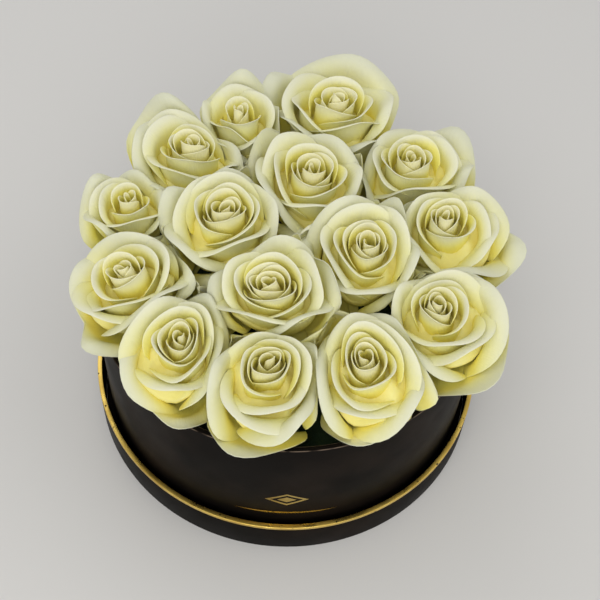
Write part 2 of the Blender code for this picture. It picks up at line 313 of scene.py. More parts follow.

# The petals' fixed colours: an outermost petal's rim and root, and the painted shade of the lowest
# places
GUARD_RIM = (0.75, 0.76, 0.57)
OUTER_ROOT = (0.80, 0.79, 0.40)
PAINTED_DEEP_SHADE = (0.92, 0.79, 0.14)

# Where the petals' colours change, by openness, by rise from root to rim, or by
# depth under the rims in millimetres. The last two, where given, are the shares.
# The depth ranges, and the fall from the rims on inner petals, paint shade as yellow
GUARD_OPENNESS = (0.70, 0.90)
MOTTLE_RANGE = (0.35, 0.7)
PALE_RISE = (0.82, 1.0)
HEART_LIFT_RANGE = (0.58, 0.10)
INSIDE_RANGE = (0.0, 1.0, 1.0, 0.15)
SHADE_BETWEEN_DEPTH = (11.0, 22.0, 0.0, 0.85)
BELOW_RIM = (1.0, 0.80, 0.3, 1.0)
YELLOW_FADE = (0.45, 0.72)
YELLOW_CREAM = 0.65
INNER_SHADE_DEPTH = (1.0, 10.5, 0.0, 0.92)
SHADE_DESCENT_RISE = (0.97, 0.84, 0.0, 0.85)
SHADE_DESCENT_OPENNESS = (0.80, 0.50)
OUTER_SHADE_DEPTH = (3.5, 12.0)
PAINTED_DEEP_SHADE_DEPTH = (9.0, 17.0)
ROOT_RISE = (0.35, 0.70)
GREEN_OPENNESS = (0.78, 1.05)
GREEN_RISE = (0.55, 1.0)

# Card: how dust lightens it, and its rim, lighter from rubbing and from a painted
# highlight, from how far under the top to how far
CARD_DUST = (2.6, 2.2, 1.9)
RUBBED_AND_HIGHLIT_CARD = (0.16, 0.12, 0.09)
EDGE_BAND_FOOT = (0.55, 0.3)
EDGE_BAND_TOP = (0.04, 0.12)

# Foil: how it dulls, and the card that shows through where it is worn
FOIL_DULL = (0.66, 0.60, 0.48)
FOIL_WORN = (0.05, 0.035, 0.02)
WORN_EDGE = 0.06

# Stalks, foam, liner and floor: two colours each, mixed in streaks or patches
STALK_GREENS = ((0.075, 0.17, 0.035), (0.20, 0.30, 0.09))
FOAM_GREENS = ((0.010, 0.030, 0.010), (0.024, 0.058, 0.020))
LINER_TONES = ((0.50, 0.52, 0.50), (0.62, 0.64, 0.62))
FLOOR_MOTTLE = 1.03

# Stage: each light's name in the settings, place, size and colour, then the camera
FLOOR_SIZE = 24.0
LIGHTS = (
    ("key", (-0.14, -0.50, 0.80), 0.5, (1.0, 0.98, 0.95)),
    ("fill", (0.60, -0.10, 0.90), 0.8, (1.0, 0.99, 0.97)),
    ("back", (-0.30, 0.70, 0.75), 0.8, (1.0, 1.0, 1.0)),
    ("front", (0.05, -1.40, 0.75), 1.0, (1.0, 0.99, 0.97)),
)
LIGHTS_AIM = (0.0, 0.0, 0.08)
SKY_COLOUR = (1.0, 1.0, 1.0, 1.0)
CAMERA_LENS = 69.0
CAMERA_SENSOR = 36.0
CAMERA_NEAR = 0.01
CAMERA_PLACE = (0.00526, -0.32339, 0.54538)
CAMERA_RIGHT = (0.99800883, 0.05202685, 0.03565932)
CAMERA_UP = (-0.0630744, 0.82320642, 0.56422762)


def mix(first, second, share):
    return first + (second - first) * share


def grown(pair, amount):
    """The first of a pair of values, and the second as many times as the amount says."""
    return pair[0] + pair[1] * amount


def smooth(share):
    share = np.clip(share, 0.0, 1.0)
    return share * share * (3.0 - 2.0 * share)


def turned(x, y, turn):
    """A place in the plane, turned about the middle."""
    return x * math.cos(turn) - y * math.sin(turn), x * math.sin(turn) + y * math.cos(turn)


class RoseSettings(bpy.types.PropertyGroup):
    """Sizes and colours of the petals."""
    thickness: FloatProperty(
        name="Petal thickness", description="Thickness of a petal", default=0.4 * MM,
        unit="LENGTH", precision=5)
    curl: FloatProperty(
        name="Rim curl", description="How far the outermost rims roll back, in degrees",
        default=100.0)
    tuck: FloatProperty(
        name="Tuck", description="How far one edge of a petal tucks under the next", default=0.036)
    extra: IntProperty(
        name="Extra petals", description="Petals added to each bloom", default=0, min=-8, max=12)
    cream: FloatVectorProperty(
        name="Cream", description="Colour of a petal's face", subtype="COLOR",
        default=(0.88, 0.86, 0.45))
    pale: FloatVectorProperty(
        name="Pale rim", description="Colour of a petal's rim", subtype="COLOR",
        default=(0.86, 0.855, 0.64))
    # Lighter than the faces: painted light that offsets the shade in the heart
    heart: FloatVectorProperty(
        name="Heart", description="Colour of the close petals in a bloom's middle", subtype="COLOR",
        default=(0.98, 0.945, 0.62))
    # Also painted shade, as yellow in the depths, between blooms and down the heart's petals
    root_and_shade_yellow: FloatVectorProperty(
        name="Deep yellow", description="Colour near a petal's root", subtype="COLOR",
        default=(0.96, 0.885, 0.22))


class BoxSettings(bpy.types.PropertyGroup):
    """Sizes and colours of the card and the foil."""
    sides: IntProperty(
        name="Sides", description="Sides of each round wall", default=192, min=48, max=360)
    edge: FloatProperty(
        name="Paper edge", description="Radius of the paper turned over the card's edge",
        default=0.6 * MM, unit="LENGTH", precision=5)
    card: FloatVectorProperty(
        name="Card", description="Colour of the black paper", subtype="COLOR",
        default=(0.0052, 0.0043, 0.0036))
    gold: FloatVectorProperty(
        name="Gold", description="Colour of the gold foil", subtype="COLOR",
        default=(0.96, 0.69, 0.17))


class StageSettings(bpy.types.PropertyGroup):
    """Floor and light."""
    floor: FloatVectorProperty(
        name="Floor", description="Colour of the floor", subtype="COLOR",
        default=(0.70, 0.69, 0.67))
    key: FloatProperty(
        name="Key light", description="Power of the main soft light in watts", default=1.5)
    fill: FloatProperty(
        name="Fill light", description="Power of the fill light in watts", default=0.8)
    back: FloatProperty(
        name="Back light", description="Power of the soft light from behind in watts",
        default=1.2)
    front: FloatProperty(
        name="Front light", description="Power of the low soft light in front in watts",
        default=5.0)
    sky: FloatProperty(
        name="Sky", description="Strength of the even light from all round", default=0.56)


def settings():
    return bpy.context.scene.rose_box


def select_only(item):
    bpy.ops.object.select_all(action="DESELECT")
    item.select_set(True)
    bpy.context.view_layer.objects.active = item


def finish_piece(item, name, shade, slot_name, *nodes):
    """Name a finished piece, give it its material and its place in the table."""
    item.name = name
    item.data.name = name
    item.data.materials.clear()
    item.data.materials.append(shade)
    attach(item, BODY)
    if nodes:
        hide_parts(*nodes)


def apply_all(item):
    select_only(item)
    for modifier in list(item.modifiers):
        bpy.ops.object.modifier_apply(modifier=modifier.name)


def set_sockets(tree, item, sockets):
    """Give each of a shader node's sockets its value, or a link from another socket."""
    for name, value in sockets.items():
        if isinstance(value, bpy.types.NodeSocket):
            tree.links.new(value, item.inputs[name])
        else:
            item.inputs[name].default_value = value


def add_node(tree, kind, sockets, **properties):
    made = tree.nodes.new(kind)
    for name, value in properties.items():
        setattr(made, name, value)
    set_sockets(tree, made, sockets)
    return made


def new_material(name, sockets):
    """A material, with its even values set on the shader's own sockets."""
    shade = bpy.data.materials.new(name)
    shade.use_nodes = True
    surface = shade.node_tree.nodes["Principled BSDF"]
    set_sockets(shade.node_tree, surface, sockets)
    return shade, shade.node_tree, surface


def colour_mix(tree, share, first, second):
    """Mix two colours, each a value or a socket, by a share socket."""
    first, second = [
        value if isinstance(value, bpy.types.NodeSocket) else (*value, 1.0)
        for value in (first, second)]
    sockets = {0: share, 6: first, 7: second}
    return add_node(tree, "ShaderNodeMix", sockets, data_type="RGBA").outputs[2]


def remap(tree, value, low, high, to_low=0.0, to_high=1.0):
    """Turn a range of a value, softly at both ends, into another range."""
    made = add_node(
        tree, "ShaderNodeMapRange",
        {"Value": value, "From Min": low, "From Max": high, "To Min": to_low, "To Max": to_high},
        interpolation_type="SMOOTHSTEP")
    return made.outputs["Result"]


def own_place(tree):
    return tree.nodes.new("ShaderNodeTexCoord").outputs["Object"]


def noise(tree, scale, detail, vector=None, stretch=None):
    """A noise pattern on the piece's own coordinates, or on those given."""
    if vector is None:
        vector = own_place(tree)
    if stretch is not None:
        mapping = add_node(tree, "ShaderNodeMapping", {"Vector": vector, "Scale": stretch})
        vector = mapping.outputs["Vector"]
    sockets = {"Vector": vector, "Scale": scale, "Detail": detail}
    return add_node(tree, "ShaderNodeTexNoise", sockets).outputs["Fac"]


def attribute(tree, name):
    return add_node(tree, "ShaderNodeAttribute", {}, attribute_name=name).outputs["Fac"]


def product(tree, first, *others):
    for other in others:
        made = add_node(tree, "ShaderNodeMath", {0: first, 1: other}, operation="MULTIPLY")
        first = made.outputs[0]
    return first


def paint(tree, surface, colour):
    tree.links.new(colour, surface.inputs["Base Color"])


def bump(tree, surface, height, strength, distance):
    sockets = {"Height": height, "Strength": strength, "Distance": distance}
    made = add_node(tree, "ShaderNodeBump", sockets)
    tree.links.new(made.outputs["Normal"], surface.inputs["Normal"])


def mid_tone(first, second, share=0.5):
    return tuple(mix(low, high, share) for low, high in zip(first, second))


def tinted(colour, factors):
    return tuple(channel * factor for channel, factor in zip(colour, factors))


def petal_colour(tree):
    """Yellow at a petal's root, painted shade as yellow in the depths, painted light in the heart,
    pale and faintly green at its rim.
    """
    looks = settings().roses
    cream = tuple(looks.cream)
    pale = tuple(looks.pale)
    root_and_shade_yellow = tuple(looks.root_and_shade_yellow)
    rise = attribute(tree, "rise")
    openness = attribute(tree, "openness")
    depth = attribute(tree, "depth")
    outside = attribute(tree, "outside")
    guard = product(tree, outside, remap(tree, openness, *GUARD_OPENNESS))
    mottle = remap(tree, noise(tree, scale=90.0, detail=4.0), *MOTTLE_RANGE)
    face = colour_mix(tree, mottle, cream, mid_tone(cream, pale))
    face = colour_mix(tree, remap(tree, rise, *PALE_RISE), face, pale)
    # Painted light: the close heart petals take a lighter colour that offsets the shade among them
    face = colour_mix(tree, remap(tree, openness, *HEART_LIFT_RANGE), face, tuple(looks.heart))
    inside = remap(tree, guard, *INSIDE_RANGE)
    # Painted shade: guard petals sunk far under the crown, between blooms, turn yellow
    between = product(tree, guard, remap(tree, attribute(tree, "sunk"), *SHADE_BETWEEN_DEPTH))
    below_rim = remap(tree, rise, *BELOW_RIM)
    # The painted shade colour: a strong yellow, paler on the opener petals
    yellow = colour_mix(
        tree, remap(tree, openness, *YELLOW_FADE), root_and_shade_yellow, mid_tone(root_and_shade_yellow, cream, YELLOW_CREAM))
    # Painted shade: inner faces turn yellow with depth under the rims
    inner_shade_share = product(tree, remap(tree, depth, *INNER_SHADE_DEPTH), below_rim)
    inner_face = colour_mix(tree, inner_shade_share, face, yellow)
    # Painted shade: inner petals turn yellow a little way down from their rims, in the heart's
    # trenches
    shade_descent = product(
        tree, remap(tree, rise, *SHADE_DESCENT_RISE), remap(tree, openness, *SHADE_DESCENT_OPENNESS))
    inner_face = colour_mix(tree, shade_descent, inner_face, root_and_shade_yellow)
    # Painted shade: outer faces turn yellow with depth, less on the guard petals
    outer_shade_share = product(tree, remap(tree, depth, *OUTER_SHADE_DEPTH), inside, below_rim)
    outer_face = colour_mix(tree, outer_shade_share, face, yellow)
    colour = colour_mix(tree, outside, inner_face, outer_face)
    # Painted shade: the lowest places under the rims take a darker golden colour
    painted_deep_shade = product(tree, remap(tree, depth, *PAINTED_DEEP_SHADE_DEPTH), inside, below_rim)
    colour = colour_mix(tree, painted_deep_shade, colour, PAINTED_DEEP_SHADE)
    root = colour_mix(tree, guard, root_and_shade_yellow, OUTER_ROOT)
    colour = colour_mix(tree, remap(tree, rise, *ROOT_RISE), root, colour)
    # Painted shade between blooms
    colour = colour_mix(tree, between, colour, root_and_shade_yellow)
    green = product(tree, remap(tree, openness, *GREEN_OPENNESS), remap(tree, rise, *GREEN_RISE))
    return colour_mix(tree, green, colour, GUARD_RIM)


def petal_finish():
    """Cream petal tissue with faint veins from root to rim."""
    shade, tree, surface = new_material("cream petals", {
        "Roughness": 0.55, "Specular IOR Level": 0.3, "Sheen Weight": 0.05,
        "Subsurface Weight": 0.12, "Subsurface Radius": (0.0020, 0.0018, 0.0012),
        "Subsurface Scale": 1.0})
    paint(tree, surface, petal_colour(tree))
    along = add_node(tree, "ShaderNodeUVMap", {}, uv_map="petal").outputs["UV"]
    veins = noise(tree, scale=6.0, detail=3.0, vector=along, stretch=(1.2, 9.0, 1.0))
    bump(tree, surface, veins, strength=0.35, distance=0.0006)
    return shade


def card_finish(name="black card", edge_band_top=None):
    """Soft black paper over card, with faint smudges, and a rim lighter from rubbing by hands and
    from a painted highlight.
    """
    shade, tree, surface = new_material(name, {
        "Specular IOR Level": 0.035, "Specular Tint": (0.85, 0.68, 0.56, 1.0)})
    smudge = remap(tree, noise(tree, scale=26.0, detail=5.0), 0.42, 0.72)
    card = tuple(settings().box.card)
    colour = colour_mix(tree, smudge, card, tinted(card, CARD_DUST))
    if edge_band_top is not None:
        # A lighter band at the top edge: partly rubbed wear, partly a painted highlight
        up = add_node(tree, "ShaderNodeSeparateXYZ", {0: own_place(tree)}).outputs["Z"]
        foot, top = [
            remap(tree, up, *[(edge_band_top - under) * MM for under in band])
            for band in (EDGE_BAND_FOOT, EDGE_BAND_TOP)]
        patchy = remap(tree, noise(tree, scale=160.0, detail=5.0), 0.30, 0.60)
        colour = colour_mix(tree, product(tree, foot, top, patchy), colour, RUBBED_AND_HIGHLIT_CARD)
    paint(tree, surface, colour)
    soft = remap(tree, noise(tree, scale=30.0, detail=4.0), 0.3, 0.75, 0.40, 0.54)
    tree.links.new(soft, surface.inputs["Roughness"])
    bump(tree, surface, noise(tree, scale=1400.0, detail=3.0), strength=0.12, distance=0.0002)
    return shade


def foil_finish(name="gold foil", wear=0.66, tone=1.0):
    """Gold foil over card, worn through in specks."""
    shade, tree, surface = new_material(name, {"Metallic": 1.0})
    gold = tuple(channel * tone for channel in settings().box.gold)
    patches = remap(tree, noise(tree, scale=45.0, detail=4.0), 0.35, 0.7)
    colour = colour_mix(tree, patches, gold, tinted(gold, FOIL_DULL))
    worn = remap(tree, noise(tree, scale=420.0, detail=4.0), wear, wear + WORN_EDGE)
    paint(tree, surface, colour_mix(tree, worn, colour, FOIL_WORN))
    polish = remap(tree, noise(tree, scale=90.0, detail=3.0), 0.3, 0.7, 0.24, 0.40)
    tree.links.new(polish, surface.inputs["Roughness"])
    bump(tree, surface, noise(tree, scale=700.0, detail=2.0), strength=0.15, distance=0.0002)
    return shade


def green_finish():
    """Stem, hip and sepals: fresh green with paler streaks."""
    shade, tree, surface = new_material("rose green", {"Roughness": 0.5})
    streaks = noise(tree, scale=60.0, detail=3.0, stretch=(3.0, 3.0, 0.5))
    paint(tree, surface, colour_mix(tree, remap(tree, streaks, 0.35, 0.7), *STALK_GREENS))
    bump(tree, surface, noise(tree, scale=900.0, detail=2.0), strength=0.2, distance=0.0002)
    return shade


def foam_finish():
    """Dark green soaked foam with open pores."""
    shade, tree, surface = new_material("wet foam", {"Roughness": 0.75})
    pores = add_node(tree, "ShaderNodeTexVoronoi", {"Vector": own_place(tree), "Scale": 900.0})
    patches = remap(tree, noise(tree, scale=120.0, detail=4.0), 0.3, 0.7)
    paint(tree, surface, colour_mix(tree, patches, *FOAM_GREENS))
    bump(tree, surface, pores.outputs["Distance"], strength=0.6, distance=0.0005)
    return shade


def liner_finish():
    """Thin clear cup, faintly milky, with soft creases."""
    shade, tree, surface = new_material("liner film", {"Roughness": 0.22, "Transmission Weight": 0.5})
    haze = remap(tree, noise(tree, scale=40.0, detail=3.0), 0.3, 0.7)
    paint(tree, surface, colour_mix(tree, haze, *LINER_TONES))
    bump(tree, surface, noise(tree, scale=70.0, detail=3.0), strength=0.3, distance=0.001)
    return shade


def floor_finish():
    """Plain pale floor."""
    shade, tree, surface = new_material("floor", {"Roughness": 0.8})
    floor = tuple(settings().stage.floor)
    pale = tuple(channel * FLOOR_MOTTLE for channel in floor)
    paint(tree, surface, colour_mix(tree, noise(tree, scale=4.0, detail=2.0), floor, pale))
    return shade


def rose_axis(rose):
    right, back = rose["lean"]
    slant = Vector((math.tan(math.radians(right)), math.tan(math.radians(back)), 1.0))
    return slant.normalized()


def rose_frame(rose):
    """Matrix from a bloom's own frame, with its base at the origin, to the box's."""
    axis = rose_axis(rose)
    base = Vector((rose["x"], rose["y"], rose["top"])) - axis * rose["height"]
    tilt = Vector((0, 0, 1)).rotation_difference(axis)
    return Matrix.Translation(base) @ tilt.to_matrix().to_4x4()


def rose_middle(rose):
    return rose_frame(rose) @ Vector((0, 0, WIDEST_AT * rose["height"]))


def press_planes(number):
    """The planes where a bloom meets its neighbours, as a normal and a distance."""
    rose = ROSES[number]
    middle = rose_middle(rose)
    planes = []
    for other_number, other in enumerate(ROSES):
        if other_number == number:
            continue
        between = rose_middle(other) - middle
        if between.length > rose["radius"] + other["radius"] + PRESS_REACH:
            continue
        share = rose["radius"] / (rose["radius"] + other["radius"])
        distance = between.length * share + PRESS_OVERLAP
        leading = 1.0 if number < other_number else -1.0
        planes.append((np.array(between.normalized()), distance, leading))
    return np.array(middle), planes


def meander(points):
    """How far two pressed blooms wander off the plane between them."""
    first = np.sin(points[:, 0] / MEANDER_LENGTH + points[:, 2] / MEANDER_RISE)
    second = np.sin(points[:, 1] / MEANDER_LENGTH - points[:, 2] / MEANDER_RISE)
    return 0.5 * MEANDER * (first + second)


def press(points, number, squeezed, slip):
    """Squeeze points so that a bloom stays about on its own side of each plane."""
    rose = ROSES[number]
    middle, planes = press_planes(number)
    if squeezed:
        for normal, distance, _ in planes:
            start = PRESS_START * distance
            squeeze = min(1.0, (distance - start) / (PRESSED_SHARE * rose["radius"] - start))
            excess = np.maximum(0.0, (points - middle) @ normal - start) * (1.0 - squeeze)
            points = points - excess[:, None] * normal
    for _ in range(PRESS_ROUNDS):
        for normal, distance, leading in planes:
            limit = distance + slip + leading * meander(points)
            excess = np.maximum(0.0, (points - middle) @ normal - limit)
            points = points - excess[:, None] * normal
    return points


def clear_of_rim(points):
    """Lift points off a cone that passes just over the rim of the box."""
    radius = np.hypot(points[:, 0], points[:, 1])
    floor = BOX_TOP + RIM_CLEARANCE + (radius - BOX_RADIUS + BOX_WALL) * RIM_SLOPE
    lift = np.maximum(0.0, floor - points[:, 2]) / (1.0 + RIM_SLOPE ** 2)
    points = points.copy()
    points[:, :2] *= (1.0 - lift * RIM_SLOPE / radius)[:, None]
    points[:, 2] += lift
    return points


def settle(local_points, number, squeezed=True, slip=0.0):
    """Take a bloom's own points to their pressed places in the box."""
    rose = ROSES[number]
    scale = np.array([rose["radius"] / DRAWN_RADIUS] * 2 + [rose["height"] / DRAWN_HEIGHT])
    matrix = np.array(rose_frame(rose))
    points = (local_points * scale) @ matrix[:3, :3].T + matrix[:3, 3]
    return clear_of_rim(press(points, number, squeezed, slip))


def filler_turns(number):
    """Directions in which a bloom sends a petal into the gap between three blooms."""
    turns = []
    for gap in GAPS:
        if gap[0] == number + 1:
            corners = [rose_middle(ROSES[place - 1]) for place in gap]
            toward = sum(corners, Vector()) / len(corners) - corners[0]
            turns.append(math.degrees(math.atan2(toward.y, toward.x)))
    return turns


def petal_plan(number):
    """A bloom's petals from the outermost in: the turn of each and how it is shaped."""
    rose = ROSES[number]
    looks = settings().roses
    chance = random.Random(FIRST_SEED + number)
    count = rose["petals"] + looks.extra
    inner = count - OUTER_PETALS
    fillers = filler_turns(number)
    plan = []
    for place in range(-len(fillers), count):
        point = chance.uniform(*POINT_RANGE)
        turn_chance = OUTER_TURN_CHANCE if place < OUTER_PETALS else INNER_TURN_CHANCE
        if place < 0:
            openness = FILLER_OPENNESS
            turn = fillers[place]
            sag = FILLER_SAG
        elif place < OUTER_PETALS:
            openness = mix(*OUTER_OPENNESS, place / (OUTER_PETALS - 1))
            turn = rose["turn"] + place * OUTER_STEP
            sag = max(0.0, openness - SAG_FROM) * SAG
            if place == 0:
                point = GUARD_POINT
                openness = rose["sprawl"] * SPRAWL_TO_OPENNESS
                sag = rose["sag"]
        else:
            share = (place - OUTER_PETALS) / (inner - 1)
            openness = mix(INNER_OPENNESS, HEART_OPENNESS, share ** INNER_POWER)
            drift = chance.uniform(-OPENNESS_CHANCE, OPENNESS_CHANCE) * INNER_OPENNESS / inner
            openness = max(LEAST_OPENNESS, openness + drift)
            turn = rose["turn"] + (INNER_START + (place - OUTER_PETALS) * INNER_STEP) * rose["wind"]
            sag = 0.0
        plan.append(dict(
            turn=math.radians(turn + chance.uniform(-1.0, 1.0) * turn_chance),
            openness=openness, sag=sag, wind=rose["wind"], squeezed=place >= 0,
            slip=rose["slip"] if place == 0 else 0.0,
            spread=FILLER_SPREAD if place < 0 else 1.0,
            tone=FILLER_TONE if place < 0 else openness,
            length=chance.uniform(*LENGTH_RANGE), reach=rose["reach"],
            tuck=looks.tuck * chance.uniform(*TUCK_RANGE),
            point=point, phase=chance.uniform(0.0, math.tau),
            ripple=chance.uniform(*RIPPLE_RANGE), fold=chance.uniform(*FOLD_RANGE)))
    return plan


def petal_length(petal, side, tip):
    """Length of each strip of a petal, from its root to its rim."""
    opened = petal["openness"]
    direction, further = petal["reach"]
    toward = max(0.0, math.cos(petal["turn"] - math.radians(direction)))
    reach = 1.0 + further * toward * opened ** 2
    length = PETAL_LENGTH + OPEN_LENGTH[0] * opened + OPEN_LENGTH[1] * opened ** 3
    length = length * petal["length"] * reach
    taper = grown(CORNER_TAPER, smooth((opened - TAPER_FROM) / TAPER_REACH)) * np.abs(side) ** 3.0
    length = length * (1.0 - taper + TIP_LENGTH * petal["point"] * tip * opened ** 2)
    return length * (1.0 + EDGE_WAVE * opened * np.sin(EDGE_WAVES * side + petal["phase"]))


def petal_profile(petal, side, tip):
    """Radius and height along each strip of a petal, and each point's share of the length."""
    opened = petal["openness"]
    width = np.abs(side)
    openness = opened + petal["tuck"] * side * petal["wind"] - EDGE_TUCK * width ** 3
    length = petal_length(petal, side, tip)
    run = length * np.linspace(0.0, 1.0, PROFILE_STEPS)[None, :]
    full_share = run / length.max()
    bend = smooth(full_share / grown(BEND_END, openness))
    root_slope = np.radians(grown(ROOT_SLOPE, openness))
    slope = mix(root_slope, np.radians(grown(BODY_SLOPE, openness)), bend)
    shoulder = np.exp(-((width - SHOULDER_PLACE) / SHOULDER_WIDTH) ** 2)
    openness = np.maximum(0.0, openness)
    roll = np.radians(mix(CLOSED_ROLL, settings().roses.curl, openness ** ROLL_POWER))
    roll = roll * (1.0 + SHOULDER_ROLL * shoulder * opened - TIP_ROLL * tip * opened)
    roll = roll * (1.0 - CORNER_ROLL * width ** 3)
    roll_length = grown(ROLL_LENGTH, openness ** ROLL_POWER)
    roll_length = roll_length * (1.0 + SHOULDER_ROLL_LENGTH * shoulder * opened)
    slope = slope - roll * (1.0 - smooth((length - run) / roll_length))
    slope = slope - np.radians(FALL_TURN) * np.maximum(0.0, openness - FALL_FROM) * full_share
    step = length / (PROFILE_STEPS - 1)
    radius = grown(ROOT_RADIUS, openness) + np.cumsum(np.cos(slope), axis=1) * step
    height = grown(ROOT_HEIGHT, openness) + np.cumsum(np.sin(slope), axis=1) * step
    along = 1.0 - (1.0 - np.linspace(0.0, 1.0, PETAL_ALONG)) ** ALONG_POWER
    picked = np.round(along * (PROFILE_STEPS - 1)).astype(int)
    return radius[:, picked], height[:, picked], full_share[:, picked]


def wave(size, kind, side, phase, rise):
    """A wave across a petal that grows towards its rim."""
    closeness, turning, power = kind
    return size * np.sin(closeness * side + turning * phase) * smooth(rise) ** power


def petal_points(petal):
    """A petal's points in the bloom's own frame: across by along by three."""
    side = np.linspace(-1.0, 1.0, PETAL_ACROSS)[:, None]
    opened = petal["openness"]
    phase = petal["phase"]
    tip = np.exp(-((side - petal["fold"] * TIP_ASIDE) / TIP_WIDTH) ** 2)
    radius, height, rise = petal_profile(petal, side, tip)
    half_angle = np.radians(grown(HALF_ANGLE, max(0.0, 1.0 - opened) ** HALF_ANGLE_POWER))
    spread = half_angle * petal["spread"] * mix(ROOT_WIDTH, 1.0, smooth(rise / FULL_WIDTH_AT))
    ripple = petal["ripple"] * grown(RIPPLE, opened ** 2)
    height = height + wave(ripple, RIPPLE_WAVE, side, phase, rise)
    height = height + wave(RIM_RIPPLE * opened ** 2, RIM_WAVE, side, phase, rise)
    radius = radius + wave(SIDE_RIPPLE * ripple, SIDE_WAVE, side, phase, rise) * opened
    height = height - petal["sag"] * (radius / radius.max()) * smooth(rise * SAG_REACH)
    turns = petal["turn"] + spread * side
    points = np.stack([radius * np.cos(turns), radius * np.sin(turns), height], axis=-1)
    return points, rise


def wander(beside, height, lengths, phases):
    """How far points wander aside with their place beside and their height."""
    first = np.sin(beside / lengths[0] + phases[0])
    second = np.sin(height / lengths[1] + phases[1])
    return WANDER * (first * 0.5 + second * 0.5)


def shape_heart(points, rose):
    """Draw the heart of a bloom out to an oval, and let the whole bloom wander a little."""
    radius = np.hypot(points[:, 0], points[:, 1])
    oval_share, oval_turn = rose["heart"]
    turn = math.radians(oval_turn)
    across, aside = turned(points[:, 0], points[:, 1], -turn)
    oval = oval_share * (1.0 - smooth(radius / HEART_REACH))
    drawn = turned(across * (1.0 + oval), aside * (1.0 - oval), turn)
    moved = np.stack([*drawn, points[:, 2]], axis=-1)
    phases = (rose["x"], rose["y"])
    moved[:, 0] += wander(moved[:, 1], moved[:, 2], WANDER_LENGTHS[0], phases)
    moved[:, 1] += wander(moved[:, 0], moved[:, 2], WANDER_LENGTHS[1], phases[::-1])
    return moved


def petal_blank():
    """A flat sheet with a map of its own, copied for every petal."""
    bpy.ops.mesh.primitive_grid_add(
        x_subdivisions=PETAL_ALONG - 1, y_subdivisions=PETAL_ACROSS - 1, size=1.0, calc_uvs=True)
    blank = bpy.context.object
    blank.name = "petal blank"
    blank.data.uv_layers[0].name = "petal"
    return blank


def dome_height(points):
    return DRAWN_HEIGHT - DOME_FALL * (points[:, 0] ** 2 + points[:, 1] ** 2)


def set_petal_data(mesh, points, places, rise, tone):
    """Keep on a mesh what the petals' colours are read from."""
    # How far each point lies under the dome and under the crown, from which painted shade is read
    depth = dome_height(points) - points[:, 2]
    radius = np.hypot(places[:, 0], places[:, 1])
    crown = CROWN_TOP - CROWN_FALL * smooth((radius - CROWN_FLAT) / CROWN_SLOPE)
    sunk = crown - places[:, 2]
    depth = np.maximum(0.0, np.maximum(depth, sunk - CROWN_DEPTH))
    for name, values in (("depth", depth), ("sunk", sunk), ("rise", rise),
                         ("openness", np.full(len(points), tone))):
        mesh.attributes.new(name, "FLOAT", "POINT").data.foreach_set("value", values)


def mark_outside(bloom, number):
    """Keep for each point how far its face looks away from the bloom's axis."""
    mesh = bloom.data
    places, normals = np.empty((2, 3 * len(mesh.vertices)))
    mesh.vertices.foreach_get("co", places)
    mesh.vertices.foreach_get("normal", normals)
    axis = np.array(rose_axis(ROSES[number]))
    aside = places.reshape(-1, 3) / MM - np.array(rose_frame(ROSES[number]).translation)
    aside = aside - (aside @ axis)[:, None] * axis
    aside = aside / np.maximum(0.1, np.linalg.norm(aside, axis=1))[:, None]
    outward = (normals.reshape(-1, 3) * aside).sum(axis=1)
    outside = mesh.attributes.new("outside", "FLOAT", "POINT")
    outside.data.foreach_set("value", smooth(0.5 + 0.5 * outward))


def join_pieces(pieces):
    select_only(pieces[0])
    for item in pieces:
        item.select_set(True)
    bpy.ops.object.join()
    return bpy.context.object


def add_core(number):
    """The close small petals under the rims, as one closed cushion shape."""
    bpy.ops.mesh.primitive_uv_sphere_add(
        segments=CORE_SIDES, ring_count=CORE_RINGS, radius=1.0, calc_uvs=True)
    core = bpy.context.object
    core.data.uv_layers[0].name = "petal"
    ball = np.array([vertex.co[:] for vertex in core.data.vertices])
    points = ball * CORE_RADIUS
    edge = dome_height(np.array([[CORE_RADIUS, 0.0]]))[0] - CORE_DEPTH
    upper = dome_height(points) - CORE_DEPTH
    lower = mix(edge, CORE_FOOT, -ball[:, 2])
    radius = np.hypot(points[:, 0], points[:, 1])
    turn = np.arctan2(points[:, 1], points[:, 0])
    folds = CORE_FOLD_HEIGHT * np.sin(CORE_FOLDS * turn + CORE_FOLD_SWEEP * radius)
    folds = folds * smooth(radius / CORE_FOLD_FROM)
    points[:, 2] = np.where(ball[:, 2] >= 0.0, upper + folds, lower + folds)
    places = settle(points, number)
    core.data.vertices.foreach_set("co", (places * MM).ravel())
    # Its depth under the dome gives the core the painted shade of the lowest places
    set_petal_data(core.data, points, places, np.full(len(points), CORE_RISE), 0.0)
    core.data.attributes.new("outside", "FLOAT", "POINT")
    return core


def add_bloom(number, blank, shade):
    """One rose head: its petals, from copies of the blank, made one piece."""
    rose = ROSES[number]
    petals = []
    for petal in petal_plan(number):
        points, rise = petal_points(petal)
        drawn = shape_heart(points.reshape(-1, 3), rose)
        places = settle(drawn, number, petal["squeezed"], petal["slip"])
        mesh = blank.data.copy()
        mesh.vertices.foreach_set("co", (places * MM).ravel())
        set_petal_data(mesh, drawn, places, rise.ravel(), petal["tone"])
        item = bpy.data.objects.new("petal", mesh)
        bpy.context.collection.objects.link(item)
        petals.append(item)
    bloom = join_pieces(petals)
    solidify = bloom.modifiers.new("thickness", "SOLIDIFY")
    solidify.thickness = settings().roses.thickness
    solidify.offset = 0.0
    rounding = bloom.modifiers.new("soft edges", "SUBSURF")
    rounding.levels = 1
    rounding.render_levels = 1
    apply_all(bloom)
    mark_outside(bloom, number)
    bloom = join_pieces((bloom, add_core(number)))
    bpy.ops.object.shade_smooth()
    name = f"rose_{number + 1:02d}"
    finish_piece(bloom, f"{name}_petals", shade, "petal", f"{name}_bloom")


